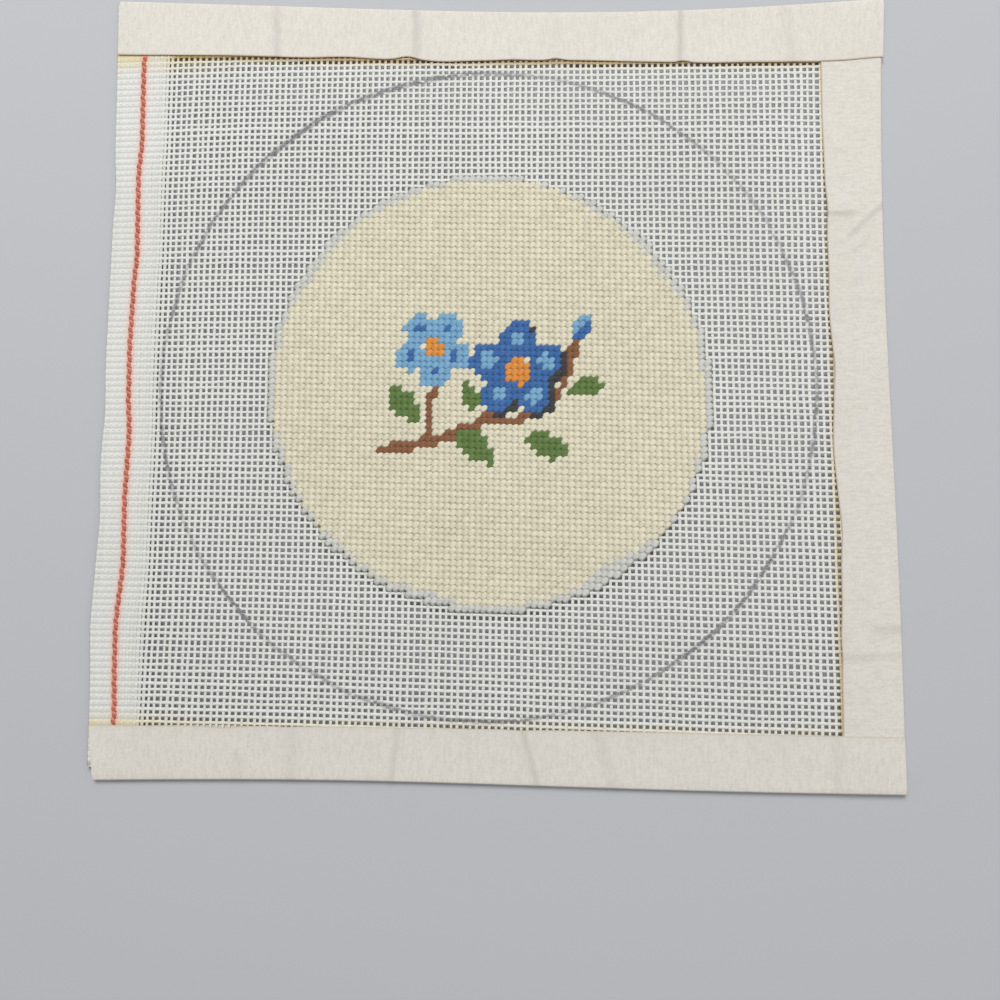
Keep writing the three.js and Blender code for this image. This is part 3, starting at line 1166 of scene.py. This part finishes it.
def tracer_material():
    """Dyed twisted cotton, with one ply painted darker than the other as painted shade for the
    grooves between them.
    """
    cloth = settings().canvas
    graph = Graph("dyed_cotton", roughness=0.75, sheen=0.2)
    patches = graph.noise(graph.place(), scale=400.0, detail=3.0)
    # Painted shade: the darker ply stands for the grooves between the plies
    ply = graph.attribute("shade") * 0.6 + patches * 0.5 - 0.1
    dark, light = (opaque(paler(cloth.tracer, share)) for share in (-0.5, 0.22))
    graph.colour(graph.blend(ply, dark, light))
    graph.bump(ply_twist(graph, turns=2.2, plies=2), strength=0.4, distance=0.00008)
    return graph.material


def wool_material(name, wool):
    """Matte wool: each stitch a little lighter or darker at random, with painted shade beside the
    holes and painted light on one side, fine fibres along the yarn and the soft ridges of its
    twist."""
    graph = Graph(f"wool_{name}", roughness=0.95, sheen=0.35)
    u, v, _ = graph.parts(graph.along())
    shade = graph.attribute("shade")
    around = graph.node("ShaderNodeCombineXYZ", {0: u * 1.4, 1: v * 9.0, 2: shade})
    fibres = graph.noise(around, scale=2.2, detail=3.0)
    patches = graph.noise(graph.place(), scale=35.0, detail=2.0)
    # The shade attribute holds a random tone, painted shade beside the holes and painted light on
    # one side
    tone = shade * 0.8 + fibres * 0.25 + patches * 0.2 - 0.08
    graph.colour(graph.blend(tone, opaque(paler(wool, -0.42)), opaque(paler(wool, 0.06))))
    twist = ply_twist(graph, turns=0.9, plies=3)
    graph.bump(twist * 0.6 + fibres * 0.8, strength=0.5, distance=0.00012)
    return graph.material


def paper_material(name, lengthways):
    """Creped paper tape: off-white, with fine ridges across its length, faint mottling and grain,
    painted shade along its creases, and with a yellowed inner edge."""
    tape = settings().tape
    graph = Graph(f"creped_paper_{name}", roughness=0.72)
    place = graph.place()
    along, across, through = CREPE_SCALE
    fine = (along, across, through) if lengthways == "x" else (across, along, through)
    crepe = graph.noise(graph.scaled(place, fine), scale=1.0, detail=3.0)
    mottle = graph.noise(place, scale=60.0, detail=4.0)
    dark, light = (opaque(paler(tape.colour, share)) for share in (-0.06, 0.10))
    paper = graph.blend(mottle, dark, light)
    grain = graph.noise(place, scale=1600.0, detail=2.0)
    rough = graph.between(crepe, 0.35, 0.75) * 0.36 + graph.between(grain, 0.35, 0.7) * 0.3
    paper = graph.blend(rough, paper, opaque(paler(tape.colour, -0.22)))
    # Painted shade along the creases
    creases = graph.attribute("shade") * 0.6
    paper = graph.blend(creases, paper, opaque(paler(tape.colour, -0.4)))
    _, from_edge, _ = graph.parts(graph.along())
    yellowed = graph.between(from_edge, *YELLOWED_STRIP) * 0.3
    paper = graph.blend(yellowed, paper, opaque(paler(tape.aged, 0.55)))
    edge = graph.between(from_edge, *BROWN_STRIP) * AGED_EDGE[name]
    paper = graph.blend(edge, paper, opaque(tape.aged))
    graph.colour(paper)
    graph.bump(crepe + mottle * 0.4 + grain * 0.5, strength=0.6, distance=0.00014)
    return graph.material


def floor_material():
    """Matte floor of one colour, very faintly cloudy."""
    colour = settings().stage.floor_colour
    graph = Graph("plain_floor", roughness=0.9)
    soft = graph.noise(graph.place(), scale=6.0, detail=1.0)
    graph.colour(graph.blend(soft, opaque(paler(colour, -0.02)), opaque(colour)))
    return graph.material


# Settings


def length(name, description, default_mm):
    """A length setting, given in millimetres and held in metres."""
    return FloatProperty(
        name=name, description=description, default=default_mm * MM, unit="LENGTH", precision=5
    )


def tint(name, description, default):
    """A colour setting."""
    return FloatVectorProperty(
        name=name, description=description, default=default, size=3, subtype="COLOR", min=0, max=1
    )


class CanvasSettings(PropertyGroup):
    """Sizes and colours of the cotton canvas."""

    threads_per_inch: IntProperty(
        name="Threads per inch", description="Count of the open mesh", default=18, min=10, max=24
    )
    thread_width: length("Thread width", "Width of a thread of the open mesh", 0.70)
    thread_height: length("Thread height", "Thickness of a thread, which is pressed flat", 0.30)
    selvedge_thread: length("Selvedge thread", "Width of a warp in the selvedge", 0.98)
    crimp: length("Crimp", "How far a thread rises and dips at a crossing", 0.06)
    wander: length("Wander", "How far a thread strays from the even grid", 0.04)
    unevenness: FloatProperty(
        name="Unevenness",
        description="How much the width of the threads differs",
        default=0.07,
        min=0,
    )
    edge_level: length("Edge level", "Height of the middle of the canvas at its edges", 0.90)
    edge_inset: length("Edge inset", "How far the cut edge stops short of the tape's fold", 1.2)
    circle_radius: length("Circle radius", "Radius of the drawn circle", 74.6)
    tracer_width: length("Tracer width", "Width of the tracer thread in the selvedge", 1.2)
    cotton: tint("Cotton", "Colour of the threads", (0.84, 0.83, 0.78))
    dyed: tint("Dyed cotton", "Colour of the cotton beside the tracer", (0.86, 0.42, 0.32))
    glue: tint("Glue", "Colour of the cotton that the tape has yellowed", (0.84, 0.70, 0.30))
    old_glue: tint("Old glue", "Colour of the cotton right beside the tape", (0.44, 0.27, 0.08))
    pencil: tint("Pencil", "Colour of the drawn circle", (0.16, 0.17, 0.18))
    tracer: tint("Tracer", "Colour of the tracer thread in the selvedge", (0.84, 0.16, 0.07))


class StitchSettings(PropertyGroup):
    """Sizes and colours of the wool."""

    stitches_across: IntProperty(
        name="Stitches across", description="Stitches across the round", default=72, min=8, max=90
    )
    yarn_width: length("Yarn width", "Width of a stitch at its middle", 1.5)
    yarn_height: length("Yarn height", "Thickness of a stitch at its middle", 0.52)
    unevenness: length("Unevenness", "How far a stitch strays from its place", 0.035)
    cream: tint("Cream", "Wool of the ground", (0.86, 0.80, 0.60))
    grey: tint("Grey", "Wool of the rim", (0.72, 0.715, 0.66))
    blue: tint("Blue", "Wool of the large blossom", (0.008, 0.13, 0.42))
    pale_blue: tint("Pale blue", "Wool of the small blossom", (0.19, 0.44, 0.68))
    black: tint("Black", "Wool of the petals' outer edges", (0.012, 0.012, 0.016))
    orange: tint("Orange", "Wool of the middles of the blossoms", (0.85, 0.30, 0.015))
    green: tint("Green", "Wool of the leaves", (0.10, 0.20, 0.015))
    brown: tint("Brown", "Wool of the stems", (0.27, 0.085, 0.012))


class TapeSettings(PropertyGroup):
    """Sizes and colours of the paper tape."""

    width: length("Tape width", "Width of the tape before it is folded", 24.0)
    thickness: length("Tape thickness", "Thickness of the paper", 0.16)
    colour: tint("Paper", "Colour of the paper", (0.82, 0.772, 0.688))
    aged: tint("Aged paper", "Colour of the paper at its inner edge", (0.40, 0.28, 0.13))


class StageSettings(PropertyGroup):
    """The floor and the lights."""

    floor_colour: tint("Floor", "Colour of the floor", (0.55, 0.56, 0.58))
    key_strength: FloatProperty(
        name="Key light", description="Strength of the large soft light", default=7.3, min=0
    )
    sky_strength: FloatProperty(
        name="Surroundings",
        description="Strength of the even light all round",
        default=0.30,
        min=0,
    )


class NeedlepointSettings(PropertyGroup):
    """Everything that a user would change."""

    canvas: PointerProperty(type=CanvasSettings)
    stitching: PointerProperty(type=StitchSettings)
    tape: PointerProperty(type=TapeSettings)
    stage: PointerProperty(type=StageSettings)


# Operators

# The stage: the side of the floor and the camera's place in metres, its sensor and lens in
# millimetres, its turn in degrees, and the colour of the surroundings
FLOOR_SIZE = 3.0
CAMERA_SENSOR = 36.0
CAMERA_LENS = 36.0
CAMERA_PLACE = (0.0089, -0.04764, 0.22519)
CAMERA_TURN = (5.13, 1.735, 0.588)
SKY_COLOUR = (0.96, 0.98, 1.0)

# The lamps, in metres and radians, and the share of the key light's strength that each has
Lamp = namedtuple("Lamp", "name place turn size share")
LAMPS = (
    Lamp("key_light", (-0.08, 0.55, 0.8), (-0.6, -0.08, 0.0), 0.6, 1.0),
    Lamp("fill_light", (0.6, -0.35, 0.6), (0.5, 0.75, 0.0), 0.8, 0.14),
)


class NEEDLEPOINT_OT_canvas(Operator):
    """Weave the canvas, with its selvedge and the tracer thread in it"""

    bl_idname = "needlepoint.canvas"
    bl_label = "Weave Canvas"

    def execute(self, context):
        cotton = cotton_material()
        warp = add_piece("canvas_warp", warp_threads(), cotton, ["canvas"])
        weft = add_piece("canvas_weft", weft_threads(), cotton, ["canvas"])
        tracer = add_piece(
            "tracer_thread", tracer_thread(), tracer_material(), ["canvas"]
        )
        for piece in (warp, weft):
            mark_selvedge(piece)
        return {"FINISHED"}


class NEEDLEPOINT_OT_stitches(Operator):
    """Work the round in wool, with the sprig in the middle, on both faces of the canvas"""

    bl_idname = "needlepoint.stitches"
    bl_label = "Work Stitches"

    def execute(self, context):
        plan = stitch_plan()
        stitched = {place for i, j in plan.values() for place in zip(i, j)}
        rng = np.random.default_rng(WOOL_SEED)
        for name, (i, j) in plan.items():
            wool = wool_material(name, getattr(settings().stitching, name))
            front = front_stitches(i, j, rng)
            add_piece(f"wool_{name}_front", front, wool, ["stitches_front"])
            back = back_stitches(i, j, stitched, rng)
            add_piece(f"wool_{name}_back", back, wool, ["stitches_back"])
        return {"FINISHED"}


class NEEDLEPOINT_OT_tapes(Operator):
    """Fold the three paper tapes over the raw edges"""

    bl_idname = "needlepoint.tapes"
    bl_label = "Fold Tapes"

    def execute(self, context):
        for name, lengthways in (("right", "y"), ("top", "x"), ("bottom", "x")):
            node = f"tape_{name}"
            paper = paper_material(name, lengthways)
            tape = add_piece(f"paper_{node}", tape_over(name), paper, [node])
            tape.data.set_sharp_from_angle(angle=np.radians(RIM_ANGLE))
        return {"FINISHED"}


class NEEDLEPOINT_OT_stage(Operator):
    """Add the floor, the soft lights and the camera that looks down on the panel"""

    bl_idname = "needlepoint.stage"
    bl_label = "Set Stage"

    def execute(self, context):
        scene = context.scene
        scene.view_settings.view_transform = "Standard"
        mesh = bpy.data.meshes.new("floor")
        half = FLOOR_SIZE / 2
        square = [(-half, -half, 0), (half, -half, 0), (half, half, 0), (-half, half, 0)]
        mesh.from_pydata(square, [], [(0, 1, 2, 3)])
        mesh.materials.append(floor_material())
        floor = bpy.data.objects.new("floor", mesh)
        scene.collection.objects.link(floor)

        stage = settings().stage
        world = bpy.data.worlds.new("soft_room")
        world.use_nodes = True
        sky = world.node_tree.nodes["Background"]
        sky.inputs["Color"].default_value = opaque(SKY_COLOUR)
        sky.inputs["Strength"].default_value = stage.sky_strength
        scene.world = world
        for lamp in LAMPS:
            data = bpy.data.lights.new(lamp.name, "AREA")
            data.shape = "DISK"
            data.size = lamp.size
            data.energy = stage.key_strength * lamp.share
            light = bpy.data.objects.new(lamp.name, data)
            light.location = lamp.place
            light.rotation_euler = Euler(lamp.turn)
            scene.collection.objects.link(light)

        data = bpy.data.cameras.new("camera")
        data.sensor_width = CAMERA_SENSOR
        data.lens = CAMERA_LENS
        camera = bpy.data.objects.new("camera", data)
        camera.location = CAMERA_PLACE
        camera.rotation_euler = Euler(np.radians(CAMERA_TURN))
        scene.collection.objects.link(camera)
        scene.camera = camera
        return {"FINISHED"}


class NEEDLEPOINT_PT_panel(Panel):
    """Sidebar panel that lists the steps and their settings"""

    bl_idname = "NEEDLEPOINT_PT_panel"
    bl_label = "Needlepoint"
    bl_space_type = "VIEW_3D"
    bl_region_type = "UI"
    bl_category = "Needlepoint"

    def draw(self, context):
        for operator, group in STEPS:
            box = self.layout.box()
            box.operator(operator.bl_idname)
            part = getattr(context.scene.needlepoint, group)
            for name in part.bl_rna.properties.keys():
                if name not in ("rna_type", "name"):
                    box.prop(part, name)


STEPS = (
    (NEEDLEPOINT_OT_canvas, "canvas"),
    (NEEDLEPOINT_OT_stitches, "stitching"),
    (NEEDLEPOINT_OT_tapes, "tape"),
    (NEEDLEPOINT_OT_stage, "stage"),
)
CLASSES = (
    CanvasSettings,
    StitchSettings,
    TapeSettings,
    StageSettings,
    NeedlepointSettings,
    NEEDLEPOINT_OT_canvas,
    NEEDLEPOINT_OT_stitches,
    NEEDLEPOINT_OT_tapes,
    NEEDLEPOINT_OT_stage,
    NEEDLEPOINT_PT_panel,
)


def register():
    """Adds the settings, the operators and the panel."""
    for item in CLASSES:
        bpy.utils.register_class(item)
    bpy.types.Scene.needlepoint = PointerProperty(type=NeedlepointSettings)


def unregister():
    """Takes them away again."""
    del bpy.types.Scene.needlepoint
    for item in reversed(CLASSES):
        bpy.utils.unregister_class(item)


def main():
    """Builds the panel on its stage."""
    register()
    bpy.ops.needlepoint.canvas()
    bpy.ops.needlepoint.stitches()
    bpy.ops.needlepoint.tapes()
    bpy.ops.needlepoint.stage()


if __name__ == "__main__":
    main()
